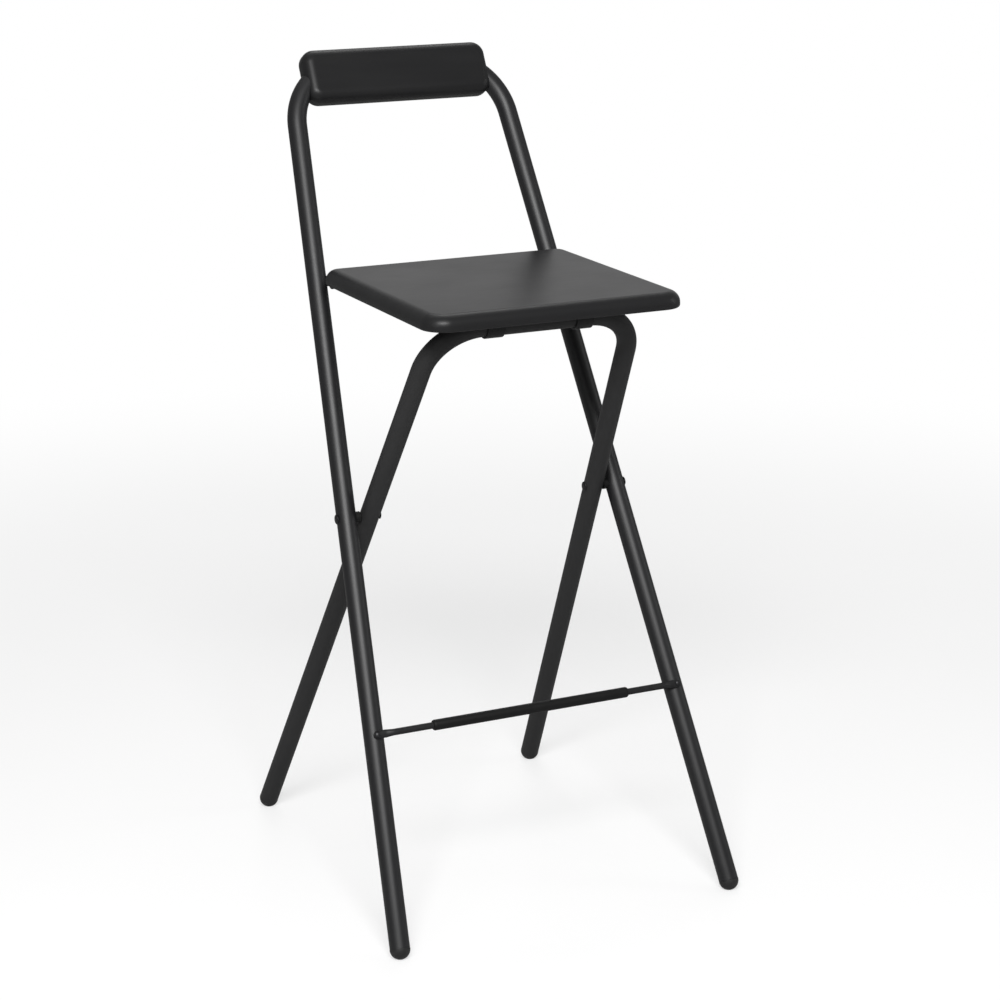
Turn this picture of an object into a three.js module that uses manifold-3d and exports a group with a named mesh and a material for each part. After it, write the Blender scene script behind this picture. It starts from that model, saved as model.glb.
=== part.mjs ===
// Folding bar stool: two crossing U-shaped tube frames, a hinged seat board, a clamped backrest
// and a footrest bar. Millimetres, +Z up, the front of the stool faces -Y.
import * as THREE from 'three';
import { mergeVertices } from 'three/addons/utils/BufferGeometryUtils.js';
import Module from 'manifold-3d';

const wasm = await Module();
wasm.setup();

// Driving dimensions, in millimetres: the gap between neighbours and how far cuts run on.
const gap = 0.3;
const overrun = 4;

// The tube of both frames.
const tubeDiameter = 24;
const tubeWall = 1.5;

// Long frame: front feet up to the backrest. Lengths run along its tilted plane.
const longTilt = THREE.MathUtils.degToRad(27.5);
const longHalfWidth = 221.6;
const longSplay = THREE.MathUtils.degToRad(4.37);
const longLength = 1092;
const longBend = 82;
const longFootY = -193.6;

// Short frame: rear feet up to the front of the seat.
const shortTilt = THREE.MathUtils.degToRad(29.6);
const shortHalfWidth = 194;
const shortSplay = THREE.MathUtils.degToRad(4.55);
const shortLength = 823;
const shortBend = 65;
const shortFootY = 311.6;

// Seat board and backrest.
const seatOverhang = 66.1;
const seatRearClearance = 25.6;
const seatWidth = 328;
const seatThickness = 19;
const seatFrontCorner = 29;
const seatRearCorner = 18;
const seatTopEdge = 14;
const seatBottomEdge = 2.5;
const backrestWidth = 249;
const backrestHeight = 69;
const backrestThickness = 32;
const backrestCorner = 17;
const backrestEdge = 13;
const backrestAboveTube = 6.9;

// Footrest.
const footrestHeight = 260.5;
const footrestDiameter = 8;
const footrestFlat = 3.2;
const footrestFlatWidth = 9.6;
const footrestFlatLength = 14;
const footrestTaper = 12;
const sleeveDiameter = 13;
const sleeveLength = 262;
const sleeveRound = 3;

// Feet.
const footDome = 12.2;
const footCentreHeight = 11.1;
const plugLength = 22;

// Crossing rivets.
const rivetDiameter = 8;
const rivetHeadDiameter = 12;
const rivetHeadHeight = 1.5;
const crossSpacerDiameter = 13;

// Seat rests, welded to the insides of the long tubes by round bosses.
const restDrop = 2.9;
const restReach = 21.6;
const restThickness = 3;
const restEarRadius = 10.6;
const restBossDiameter = 13;
const restWebHeight = 9;
const restFlangeWidth = 14;
const restFlangeReach = 22;
const restFlangeLength = 13;
const restPinDiameter = 6;
const restPinHeight = 8;
const restPinInset = 8;
const restPinClearance = 0.6;
const restPinLean = THREE.MathUtils.degToRad(28);

// Straps that hold the short frame's cross tube under the seat.
const strapInset = 0.5;
const strapWidth = 22;
const strapThickness = 2;
const strapFlange = 16;

// Screws.
const screwDiameter = 4;
const screwHeadDiameter = 8;
const screwHeadHeight = 2.4;
const seatScrewLength = 13;
const backScrewLength = 24;
const backScrewInset = 19;
const backScrewXs = [-90, -32, 32, 90];
const footRivetDiameter = 4;
const footRivetHead = 7.4;
const footRivetHeight = 1.8;
const footRivetLength = 6;

const tubeRadius = tubeDiameter / 2;
const boreRadius = tubeRadius - tubeWall;

// How finely curves are stepped.
const roundSides = 20;
const smallSides = 14;
const rodSides = 16;
const cornerSteps = 6;
const wideEdgeSteps = 6;
const smallEdgeSteps = 2;

function material(color, roughness, metalness) {
  return new THREE.MeshStandardMaterial({ color, roughness, metalness });
}

const blackLacquer = () => material(0x262628, 0.32, 0.2);
const mattePaint = () => material(0x2b2b2c, 0.6, 0.15);
const lacqueredWood = () => material(0x2c2c2d, 0.42, 0);
const blackPlastic = () => material(0x141415, 0.55, 0);
const blackenedSteel = () => material(0x38383a, 0.4, 0.7);

// A path that is stepped where it is asked: once along each straight and finely round each bend.
class SteppedPath extends THREE.Curve {
  constructor() {
    super();
    this.points = [];
    this.tangents = [];
  }

  add(x, z, angle) {
    this.points.push(new THREE.Vector3(x, 0, z));
    this.tangents.push(new THREE.Vector3(Math.sin(angle), 0, Math.cos(angle)));
  }

  get steps() {
    return this.points.length - 1;
  }

  getPointAt(share) {
    return this.points[Math.round(share * this.steps)].clone();
  }

  getTangentAt(share) {
    return this.tangents[Math.round(share * this.steps)].clone();
  }
}

// A three.js geometry as a manifold solid.
function solid(geometry) {
  const bare = geometry.clone();
  bare.deleteAttribute('normal');
  bare.deleteAttribute('uv');
  const welded = mergeVertices(bare);
  return new wasm.Manifold(new wasm.Mesh({
    numProp: 3,
    vertProperties: new Float32Array(welded.attributes.position.array),
    triVerts: new Uint32Array(welded.index.array),
  }));
}

// A manifold solid as a three.js geometry.
function geometryOf(shape) {
  const mesh = shape.getMesh();
  const geometry = new THREE.BufferGeometry();
  geometry.setAttribute('position', new THREE.BufferAttribute(mesh.vertProperties, mesh.numProp));
  geometry.setIndex(new THREE.BufferAttribute(mesh.triVerts, 1));
  geometry.computeVertexNormals();
  return geometry;
}

function part(name, geometry, finish) {
  const mesh = new THREE.Mesh(geometry, finish);
  mesh.name = name;
  return mesh;
}

// Half the level top of a U-shaped frame, up to where its bends begin.
function levelHalf(halfWidth, splay, length, bend) {
  return halfWidth - (bend + (length - bend) * Math.sin(splay)) / Math.cos(splay);
}

// The centre line of a U-shaped frame, from one foot over the top to the other, in its own plane.
function framePath(halfWidth, splay, length, bend, start) {
  const bendSteps = 9;
  const centreZ = length - bend;
  const centreX = levelHalf(halfWidth, splay, length, bend);
  const path = new SteppedPath();
  path.add(-halfWidth + start * Math.tan(splay), start, splay);
  for (let step = 0; step <= bendSteps; step += 1) {
    const angle = splay + (Math.PI / 2 - splay) * step / bendSteps;
    path.add(-centreX - bend * Math.cos(angle), centreZ + bend * Math.sin(angle), angle);
  }
  for (let step = bendSteps; step >= 0; step -= 1) {
    const angle = splay + (Math.PI / 2 - splay) * step / bendSteps;
    path.add(centreX + bend * Math.cos(angle), centreZ + bend * Math.sin(angle), Math.PI - angle);
  }
  path.add(halfWidth - start * Math.tan(splay), start, Math.PI - splay);
  return path;
}

// The cross-section of a round bar or, with a hole, of a tube.
function disc(radius, hole) {
  const shape = new THREE.Shape();
  shape.absarc(0, 0, radius, 0, 2 * Math.PI);
  if (hole) {
    shape.holes.push(new THREE.Path().absarc(0, 0, hole, 0, 2 * Math.PI, true));
  }
  return shape;
}

// A round bar or tube swept along a path.
function sweep(path, radius, hole = 0) {
  return new THREE.ExtrudeGeometry(disc(radius, hole), {
    extrudePath: path,
    steps: path.steps,
    curveSegments: roundSides / 2,
  });
}

// A cylinder along X from one place to another.
function crossCylinder(radius, fromX, toX) {
  const cylinder = new THREE.CylinderGeometry(radius, radius, Math.abs(toX - fromX), roundSides);
  return cylinder.rotateZ(Math.PI / 2).translate((fromX + toX) / 2, 0, 0);
}

// A profile of [radius, place] pairs turned round the X axis. The places run outward along X.
function turned(profile, side = 1, sides = smallSides) {
  const points = profile.map(([radius, place]) => new THREE.Vector2(radius, place));
  const geometry = new THREE.LatheGeometry(points, sides).rotateZ(-Math.PI / 2);
  return side > 0 ? geometry : geometry.rotateY(Math.PI);
}

// A domed head on a flat base, as profile points from the rim of the base to the crown.
function dome(radius, height, base) {
  const steps = 3;
  const points = [];
  for (let step = 0; step <= steps; step += 1) {
    const angle = Math.PI / 2 * step / steps;
    points.push([radius * Math.cos(angle), base + height * Math.sin(angle)]);
  }
  points[steps][0] = 0;
  return points;
}

// How far a frame's leg stands from the middle at a length along the frame.
function halfWidthAt(halfWidth, splay, along) {
  return halfWidth - along * Math.tan(splay);
}

// A cut for a leg of a frame, a clearance larger than the tube, in the frame's own plane.
function legCut(halfWidth, splay, side, clearance, fromAlong, toAlong) {
  const length = toAlong - fromAlong;
  const radius = tubeRadius + clearance;
  const leg = new THREE.CylinderGeometry(radius, radius, length, roundSides * 2).rotateX(Math.PI / 2);
  leg.translate(0, 0, (fromAlong + toAlong) / 2);
  return leg.rotateY(-side * splay).translate(side * halfWidth, 0, 0);
}

// Where the two frames cross, as a height and as lengths along each frame.
const crossHeight = (shortFootY - longFootY) / (Math.tan(longTilt) + Math.tan(shortTilt));
const longCross = crossHeight / Math.cos(longTilt);
const shortCross = crossHeight / Math.cos(shortTilt);
const longCrossX = halfWidthAt(longHalfWidth, longSplay, longCross);
const shortCrossX = halfWidthAt(shortHalfWidth, shortSplay, shortCross);

// The cross tube of the short frame, on which the seat hinges.
const hingeY = shortFootY - shortLength * Math.sin(shortTilt);
const hingeZ = shortLength * Math.cos(shortTilt);
const seatBottom = hingeZ + tubeRadius + gap;

const underSeat = seatBottom - gap;
const hingeHalf = levelHalf(shortHalfWidth, shortSplay, shortLength, shortBend);
const strapX = hingeHalf - strapInset - strapWidth / 2;

// The rests that carry the rear of the seat.
const restZ = underSeat - restDrop;
const restAlong = restZ / Math.cos(longTilt);
const restY = longFootY + restAlong * Math.sin(longTilt);
const restTubeX = halfWidthAt(longHalfWidth, longSplay, restAlong);
const restX = restTubeX - restReach;
const seatFrontY = hingeY - seatOverhang;
const seatRearY = restY - seatRearClearance;
const seatDepth = seatRearY - seatFrontY;
const restFrontY = seatRearY - restFlangeReach;
const restPinX = restX + restThickness - restFlangeWidth / 2;
const restPinY = restFrontY + restPinInset;

// A bent tube frame, drilled through both legs for the crossing rivets.
function frameTube(halfWidth, splay, length, bend, tilt, crossAlong) {
  const start = footCentreHeight / Math.cos(tilt) + gap;
  const path = framePath(halfWidth, splay, length, bend, start);
  const reach = halfWidth + tubeDiameter;
  const drill = crossCylinder(rivetDiameter / 2 + gap, -reach, reach).translate(0, 0, crossAlong);
  return solid(sweep(path, tubeRadius, boreRadius)).subtract(solid(drill));
}

// The hole of a footrest rivet, through the rod's flat end and the front wall of the tube.
function footRivetHole(side) {
  const radius = footRivetDiameter / 2 + gap;
  const hole = new THREE.CylinderGeometry(radius, radius, tubeDiameter, smallSides);
  return hole.translate(side * footRivetX, -tubeDiameter / 2, footrestHeight);
}

function longTube() {
  let tube = frameTube(longHalfWidth, longSplay, longLength, longBend, longTilt, longCross);
  for (const side of [-1, 1]) {
    tube = tube.subtract(solid(footRivetHole(side)));
  }
  return part('long_frame_tube', geometryOf(tube), blackLacquer());
}

function shortTube() {
  const tube = frameTube(shortHalfWidth, shortSplay, shortLength, shortBend, shortTilt, shortCross);
  return part('short_frame_tube', geometryOf(tube), mattePaint());
}

// A plug foot: a dome under the tube's end, cut flat by the floor, and a shank inside the tube.
function plugFoot(name, halfWidth, splay, tilt, side) {
  const centre = footCentreHeight / Math.cos(tilt);
  const shank = boreRadius - gap;
  const ribbed = shank - tubeWall;
  const steps = 6;
  const profile = [];
  for (let step = 0; step <= steps; step += 1) {
    const angle = Math.PI / 2 * (1 - step / steps);
    profile.push([footDome * Math.cos(angle), centre - footDome * Math.sin(angle)]);
  }
  profile[0][0] = 0;
  profile.push([shank, centre], [shank, centre + plugLength - tubeWall]);
  profile.push([ribbed, centre + plugLength], [0, centre + plugLength]);
  const points = profile.map(([radius, along]) => new THREE.Vector2(radius, along));
  const blank = new THREE.LatheGeometry(points, roundSides).rotateX(Math.PI / 2);
  blank.rotateY(-side * splay).translate(side * halfWidth, 0, 0);
  const floorSize = tubeDiameter * 4;
  const floor = new THREE.BoxGeometry(floorSize, floorSize, floorSize).translate(0, 0, -floorSize / 2);
  floor.rotateX(tilt).translate(side * halfWidth, 0, 0);
  return part(name, geometryOf(solid(blank).subtract(solid(floor))), blackPlastic());
}

// The long rivet through both tubes at a crossing, with a domed head at each end.
function crossRivet(name, side) {
  const outer = longCrossX + tubeRadius + gap * 2;
  const inner = shortCrossX - tubeRadius - gap * 2;
  const shank = rivetDiameter / 2;
  const head = rivetHeadDiameter / 2;
  const tail = dome(head, rivetHeadHeight, 0).reverse().map(([radius, place]) => [radius, inner - place]);
  const crown = dome(head, rivetHeadHeight, outer);
  const rivet = turned([...tail, [shank, inner], [shank, outer], ...crown], side);
  return part(name, rivet.translate(0, 0, longCross), blackenedSteel());
}

// A bored spacer between the two tubes at a crossing, hollowed to sit on the long tube.
function crossSpacer(name, side) {
  const inner = shortCrossX + tubeRadius / Math.cos(shortSplay) + gap * 2;
  const body = crossCylinder(crossSpacerDiameter / 2, side * inner, side * longCrossX);
  const bore = rivetDiameter / 2 + gap;
  const drill = crossCylinder(bore, side * (inner - overrun), side * (longCrossX + overrun));
  const from = longCross - tubeDiameter;
  const to = longCross + tubeDiameter;
  const tube = legCut(longHalfWidth, longSplay, side, gap, from, to).translate(0, 0, -longCross);
  const sleeve = solid(body).subtract(solid(drill)).subtract(solid(tube));
  return part(name, geometryOf(sleeve).translate(0, 0, longCross), blackPlastic());
}

// Where the footrest's ends lie on the front of the long tubes.
const footRivetX = halfWidthAt(longHalfWidth, longSplay, footrestHeight);
const footrestY = -(tubeRadius + gap + footrestFlat / 2);

// The rings of the footrest rod's right half: round, then pressed flat, then rounded to its tip.
function rodRings() {
  const tip = footrestFlatWidth / 2;
  const roundX = footRivetX + tip - footrestFlatLength - footrestTaper;
  const steps = 6;
  const rings = [];
  for (let step = 0; step <= steps; step += 1) {
    const share = step / steps;
    const blend = share * share * (3 - 2 * share);
    rings.push({
      x: roundX + footrestTaper * share,
      high: THREE.MathUtils.lerp(footrestDiameter, footrestFlatWidth, blend) / 2,
      thick: THREE.MathUtils.lerp(footrestDiameter, footrestFlat, blend) / 2,
    });
  }
  for (let step = 0; step < steps; step += 1) {
    const angle = Math.PI / 2 * step / steps;
    rings.push({
      x: footRivetX + tip * Math.sin(angle),
      high: tip * Math.cos(angle),
      thick: footrestFlat / 2,
    });
  }
  return rings;
}

// The footrest rod, one skin through all its rings, drilled for a rivet at each end.
function footrestRod() {
  const sides = rodSides;
  const half = rodRings();
  const mirrored = half.map(({ x, high, thick }) => ({ x: -x, high, thick })).reverse();
  const rings = [...mirrored, ...half];
  const points = [];
  for (const ring of rings) {
    for (let index = 0; index < sides; index += 1) {
      const angle = 2 * Math.PI * index / sides;
      points.push(ring.x, -ring.thick * Math.cos(angle), ring.high * Math.sin(angle));
    }
  }
  const endX = footRivetX + footrestFlatWidth / 2;
  points.push(-endX, 0, 0, endX, 0, 0);
  const faces = [];
  for (let row = 0; row + 1 < rings.length; row += 1) {
    for (let index = 0; index < sides; index += 1) {
      const next = (index + 1) % sides;
      const low = row * sides;
      const high = low + sides;
      faces.push(low + index, high + index, low + next, low + next, high + index, high + next);
    }
  }
  const firstTip = rings.length * sides;
  const lastRing = firstTip - sides;
  for (let index = 0; index < sides; index += 1) {
    const next = (index + 1) % sides;
    faces.push(firstTip, index, next, firstTip + 1, lastRing + next, lastRing + index);
  }
  const loft = new THREE.BufferGeometry();
  loft.setAttribute('position', new THREE.BufferAttribute(new Float32Array(points), 3));
  loft.setIndex(faces);
  let rod = solid(loft.translate(0, footrestY, footrestHeight));
  for (const side of [-1, 1]) {
    rod = rod.subtract(solid(footRivetHole(side)));
  }
  return part('footrest_rod', geometryOf(rod), blackenedSteel());
}

// The sleeve on the middle of the footrest rod, its ends rounded.
function footrestSleeve() {
  const outer = sleeveDiameter / 2;
  const bore = footrestDiameter / 2 + gap;
  const end = sleeveLength / 2;
  const profile = [[bore, -end], [outer - sleeveRound, -end]];
  const steps = 4;
  for (let step = 1; step <= steps; step += 1) {
    const angle = Math.PI / 2 * step / steps;
    const radius = outer - sleeveRound + sleeveRound * Math.sin(angle);
    profile.push([radius, -end + sleeveRound - sleeveRound * Math.cos(angle)]);
  }
  const mirrored = profile.map(([radius, place]) => [radius, -place]).reverse();
  const sleeve = turned([...profile, ...mirrored, profile[0]], 1, roundSides);
  return part('footrest_sleeve', sleeve.translate(0, footrestY, footrestHeight), blackPlastic());
}

// A rivet that holds a flat end of the rod to its tube.
function footrestRivet(name, side) {
  const front = footrestY - footrestFlat / 2 - gap;
  const shank = footRivetDiameter / 2;
  const head = dome(footRivetHead / 2, footRivetHeight, 0);
  const rivet = turned([[0, -footRivetLength], [shank, -footRivetLength], [shank, 0], ...head]);
  rivet.rotateZ(-Math.PI / 2).translate(side * footRivetX, front, footrestHeight);
  return part(name, rivet, blackenedSteel());
}

// The backrest: one rounded block, parted in the tubes' plane and grooved for the bent tube.
const backunderSeat = longLength + tubeRadius + backrestAboveTube;
const backrestBottom = backunderSeat - backrestHeight;
const backScrewZ = backrestBottom + backScrewInset;

// A rectangle about the origin with four corner radii.
function roundedRectangle(width, height, corners) {
  const [lowLeft, lowRight, topRight, topLeft] = corners;
  const x = width / 2;
  const y = height / 2;
  const shape = new THREE.Shape();
  shape.moveTo(-x + lowLeft, -y);
  shape.lineTo(x - lowRight, -y);
  shape.absarc(x - lowRight, -y + lowRight, lowRight, -Math.PI / 2, 0);
  shape.lineTo(x, y - topRight);
  shape.absarc(x - topRight, y - topRight, topRight, 0, Math.PI / 2);
  shape.lineTo(-x + topLeft, y);
  shape.absarc(-x + topLeft, y - topLeft, topLeft, Math.PI / 2, Math.PI);
  shape.lineTo(-x, -y + lowLeft);
  shape.absarc(-x + lowLeft, -y + lowLeft, lowLeft, Math.PI, 1.5 * Math.PI);
  return shape;
}

// A board of a given outline with rounded edges, its faces square to Z and its middle at the origin.
function roundedBoard(shape, thickness, edge, edgeSteps) {
  const board = new THREE.ExtrudeGeometry(shape, {
    depth: thickness - 2 * edge,
    bevelThickness: edge,
    bevelSize: edge,
    bevelOffset: -edge,
    bevelSegments: edgeSteps,
    curveSegments: cornerSteps,
  });
  return board.translate(0, 0, edge - thickness / 2);
}

function screwHole(x) {
  const length = backScrewLength + screwHeadHeight + gap * 3;
  const radius = screwDiameter / 2 + gap;
  const hole = new THREE.CylinderGeometry(radius, radius, length, smallSides);
  return hole.translate(x, backrestThickness / 2 - length / 2, backScrewZ);
}

function headHole(x) {
  const radius = screwHeadDiameter / 2 + gap;
  const depth = screwHeadHeight + overrun;
  const hole = new THREE.CylinderGeometry(radius, radius, depth, smallSides);
  return hole.translate(x, backrestThickness / 2 - screwHeadHeight - gap * 2 + depth / 2, backScrewZ);
}

// One half of the backrest, its groove a gap wider than the tube.
function backrestBoard(name, side) {
  const corners = [backrestCorner, backrestCorner, backrestCorner, backrestCorner];
  const outline = roundedRectangle(backrestWidth, backrestHeight, corners);
  const block = roundedBoard(outline, backrestThickness, backrestEdge, wideEdgeSteps);
  block.rotateX(Math.PI / 2).translate(0, 0, (backunderSeat + backrestBottom) / 2);
  const size = backrestWidth + overrun;
  const half = new THREE.BoxGeometry(size, size, size);
  half.translate(0, side * (size / 2 + gap / 2), (backunderSeat + backrestBottom) / 2);
  const path = framePath(longHalfWidth, longSplay, longLength, longBend, backrestBottom - tubeDiameter * 2);
  let board = solid(block).intersect(solid(half)).subtract(solid(sweep(path, tubeRadius + gap)));
  for (const x of backScrewXs) {
    board = board.subtract(solid(screwHole(x)));
    board = board.subtract(solid(headHole(x)));
  }
  return part(name, geometryOf(board), lacqueredWood());
}

// A pan-head screw along Y with its head toward the rear.
function backrestScrew(name, x) {
  const shank = screwDiameter / 2;
  const screw = turned([
    [0, -backScrewLength],
    [shank, -backScrewLength + shank],
    [shank, 0],
    ...dome(screwHeadDiameter / 2, screwHeadHeight, 0),
  ]);
  const seat = backrestThickness / 2 - screwHeadHeight - gap;
  return part(name, screw.rotateZ(Math.PI / 2).translate(x, seat, backScrewZ), blackenedSteel());
}

// Where the screws of the straps go up into the seat board.
const strapScrewReach = tubeRadius + gap + strapThickness + strapFlange / 2;
const strapScrewYs = [hingeY - strapScrewReach, hingeY + strapScrewReach];

// A hole along Z between two heights.
function upwardHole(radius, x, y, from, to) {
  const hole = new THREE.CylinderGeometry(radius, radius, to - from, smallSides).rotateX(Math.PI / 2);
  return hole.translate(x, y, (from + to) / 2);
}

// A socket for a rest's pin. The leaning one lets the pin leave as the seat swings up and back.
function pinSocket(side, lean) {
  const radius = restPinDiameter / 2 + restPinClearance;
  const depth = restPinHeight + restPinClearance;
  const hole = new THREE.CylinderGeometry(radius, radius, 2 * depth, smallSides).rotateX(Math.PI / 2);
  hole.translate(0, 0, -depth).rotateX(-lean);
  return hole.translate(side * restPinX, restPinY, underSeat + depth);
}

// The seat board, with a wide rounding above, eased edges below, holes for the strap screws and
// sockets for the pins of the rests.
function seatBoard() {
  const corners = [seatFrontCorner, seatFrontCorner, seatRearCorner, seatRearCorner];
  const outline = roundedRectangle(seatWidth, seatDepth, corners);
  const block = 4 * seatThickness;
  const middleY = seatRearY - seatDepth / 2;
  const upper = roundedBoard(outline, block, seatTopEdge, wideEdgeSteps);
  upper.translate(0, middleY, seatBottom + seatThickness - block / 2);
  const lower = roundedBoard(outline, block, seatBottomEdge, smallEdgeSteps);
  lower.translate(0, middleY, seatBottom + block / 2);
  let board = solid(upper).intersect(solid(lower));
  const radius = screwDiameter / 2 + gap;
  const top = seatBottom + seatScrewLength;
  for (const side of [-1, 1]) {
    for (const lean of [0, restPinLean]) {
      board = board.subtract(solid(pinSocket(side, lean)));
    }
    for (const y of strapScrewYs) {
      board = board.subtract(solid(upwardHole(radius, side * strapX, y, seatBottom - overrun, top)));
    }
  }
  return part('seat_board', geometryOf(board), lacqueredWood());
}

// A seat rest: a flange and pin under the board, an upright web, a round ear and a boss on the tube.
function seatRest(name, side) {
  const web = new THREE.Shape();
  web.moveTo(restFrontY, underSeat);
  web.lineTo(restFrontY, underSeat - restThickness);
  web.lineTo(restFrontY + restWebHeight, underSeat - restWebHeight);
  web.lineTo(restY, underSeat - restWebHeight);
  web.lineTo(restY, underSeat);
  web.closePath();
  const firstX = side > 0 ? restX : -restX - restThickness;
  const upright = new THREE.ExtrudeGeometry(web, { depth: restThickness, bevelEnabled: false });
  upright.rotateX(Math.PI / 2).rotateZ(Math.PI / 2).translate(firstX, 0, 0);
  const ear = crossCylinder(restEarRadius, firstX, firstX + restThickness).translate(0, restY, restZ);
  const bossFrom = side * (restX + restThickness / 2);
  const boss = crossCylinder(restBossDiameter / 2, bossFrom, side * restTubeX).translate(0, restY, restZ);
  const from = restAlong - tubeDiameter;
  const to = restAlong + tubeDiameter;
  const tube = legCut(longHalfWidth, longSplay, side, gap, from, to);
  tube.rotateX(-longTilt).translate(0, longFootY, 0);
  const flange = new THREE.BoxGeometry(restFlangeWidth, restFlangeLength, restThickness);
  const flangeY = restFrontY + restFlangeLength / 2;
  flange.translate(side * restPinX, flangeY, underSeat - restThickness / 2);
  const pinRadius = restPinDiameter / 2;
  const pinProfile = [
    [0, -restThickness / 2],
    [pinRadius, -restThickness / 2],
    [pinRadius, restPinHeight - pinRadius / 2],
    [pinRadius / 2, restPinHeight],
    [0, restPinHeight],
  ].map(([radius, height]) => new THREE.Vector2(radius, height));
  const pin = new THREE.LatheGeometry(pinProfile, smallSides).rotateX(Math.PI / 2);
  pin.translate(side * restPinX, restPinY, underSeat);
  let rest = solid(boss).subtract(solid(tube));
  for (const piece of [upright, ear, flange, pin]) {
    rest = rest.add(solid(piece));
  }
  return part(name, geometryOf(rest), blackLacquer());
}

// A strap bent round the cross tube, with a flange on each side.
function seatStrap(name, side) {
  const inner = tubeRadius + gap;
  const outer = inner + strapThickness;
  const reach = outer + strapFlange;
  const strap = new THREE.Shape();
  strap.moveTo(hingeY - reach, underSeat);
  strap.lineTo(hingeY - reach, underSeat - strapThickness);
  strap.lineTo(hingeY - outer, underSeat - strapThickness);
  strap.lineTo(hingeY - outer, hingeZ);
  strap.absarc(hingeY, hingeZ, outer, Math.PI, 2 * Math.PI);
  strap.lineTo(hingeY + outer, underSeat - strapThickness);
  strap.lineTo(hingeY + reach, underSeat - strapThickness);
  strap.lineTo(hingeY + reach, underSeat);
  strap.lineTo(hingeY + inner, underSeat);
  strap.lineTo(hingeY + inner, hingeZ);
  strap.absarc(hingeY, hingeZ, inner, 0, -Math.PI, true);
  strap.lineTo(hingeY - inner, underSeat);
  strap.closePath();
  const band = new THREE.ExtrudeGeometry(strap, {
    depth: strapWidth, bevelEnabled: false, curveSegments: roundSides / 2,
  });
  band.rotateX(Math.PI / 2).rotateZ(Math.PI / 2).translate(side * strapX - strapWidth / 2, 0, 0);
  let shape = solid(band);
  for (const y of strapScrewYs) {
    const hole = upwardHole(screwDiameter / 2 + gap, side * strapX, y, underSeat - overrun, seatBottom);
    shape = shape.subtract(solid(hole));
  }
  return part(name, geometryOf(shape), blackenedSteel());
}

// A pan-head screw through a strap, up into the seat board.
function seatScrew(name, x, y) {
  const shank = screwDiameter / 2;
  const head = dome(screwHeadDiameter / 2, screwHeadHeight, 0);
  const length = seatScrewLength + strapThickness - gap;
  const screw = turned([[0, -length], [shank, -length + shank], [shank, 0], ...head]);
  screw.rotateY(Math.PI / 2).translate(x, y, underSeat - strapThickness - gap);
  return part(name, screw, blackenedSteel());
}

function sideName(side) {
  return side < 0 ? 'left' : 'right';
}

function longFrame() {
  const frame = new THREE.Group();
  frame.add(longTube(), footrestRod(), footrestSleeve());
  frame.add(backrestBoard('backrest_front', -1), backrestBoard('backrest_rear', 1));
  backScrewXs.forEach((x, index) => frame.add(backrestScrew(`backrest_screw_${index + 1}`, x)));
  for (const side of [-1, 1]) {
    const where = sideName(side);
    frame.add(plugFoot(`front_foot_${where}`, longHalfWidth, longSplay, longTilt, side));
    frame.add(footrestRivet(`footrest_rivet_${where}`, side));
    frame.add(crossRivet(`crossing_rivet_${where}`, side));
    frame.add(crossSpacer(`crossing_spacer_${where}`, side));
  }
  frame.rotation.x = -longTilt;
  frame.position.y = longFootY;
  return frame;
}

function shortFrame() {
  const frame = new THREE.Group();
  frame.add(shortTube());
  for (const side of [-1, 1]) {
    frame.add(plugFoot(`rear_foot_${sideName(side)}`, shortHalfWidth, shortSplay, -shortTilt, side));
  }
  frame.rotation.x = shortTilt;
  frame.position.y = shortFootY;
  return frame;
}

function seat() {
  const group = new THREE.Group();
  group.add(seatBoard());
  for (const side of [-1, 1]) {
    const where = sideName(side);
    group.add(seatStrap(`seat_strap_${where}`, side));
    strapScrewYs.forEach((y, index) => {
      group.add(seatScrew(`strap_screw_${where}_${index + 1}`, side * strapX, y));
    });
  }
  return group;
}

function seatRests() {
  const group = new THREE.Group();
  for (const side of [-1, 1]) {
    group.add(seatRest(`seat_rest_${sideName(side)}`, side));
  }
  return group;
}

const stool = new THREE.Group();
stool.add(longFrame(), shortFrame(), seat(), seatRests());

// The origin is the middle of the footprint on the floor.
const box = new THREE.Box3().setFromObject(stool, true);
stool.position.y = -(box.min.y + box.max.y) / 2;

export default stool;
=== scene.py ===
"""Folding bar stool in black: two crossing bent tube frames, a hinged seat board, a clamped backrest
and a footrest bar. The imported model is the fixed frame, and every visible piece is made again here
with a finer surface and its own finish. Metres, +Z up, the front faces -Y and left is -X."""

from math import ceil, cos, pi, radians, sin, tan

import bmesh
import bpy
import numpy as np
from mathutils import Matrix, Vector


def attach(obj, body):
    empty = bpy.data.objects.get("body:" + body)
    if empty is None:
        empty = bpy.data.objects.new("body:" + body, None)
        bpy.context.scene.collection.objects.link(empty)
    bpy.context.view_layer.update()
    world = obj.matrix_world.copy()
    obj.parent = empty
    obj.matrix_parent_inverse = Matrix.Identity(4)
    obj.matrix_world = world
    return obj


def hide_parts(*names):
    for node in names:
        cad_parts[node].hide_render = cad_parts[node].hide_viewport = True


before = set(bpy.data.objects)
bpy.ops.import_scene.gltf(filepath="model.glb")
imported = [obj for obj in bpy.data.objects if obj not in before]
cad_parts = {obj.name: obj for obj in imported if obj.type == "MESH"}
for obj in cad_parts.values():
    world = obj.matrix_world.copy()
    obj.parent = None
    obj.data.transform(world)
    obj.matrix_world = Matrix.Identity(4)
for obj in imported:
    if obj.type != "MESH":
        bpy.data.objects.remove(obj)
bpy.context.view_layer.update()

# Long frame tube. One steel tube, 24 mm across with a 1.5 mm wall, bent twice into a U that runs
# from the front feet to the backrest, and finished in semi-gloss black powder coat.

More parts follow.
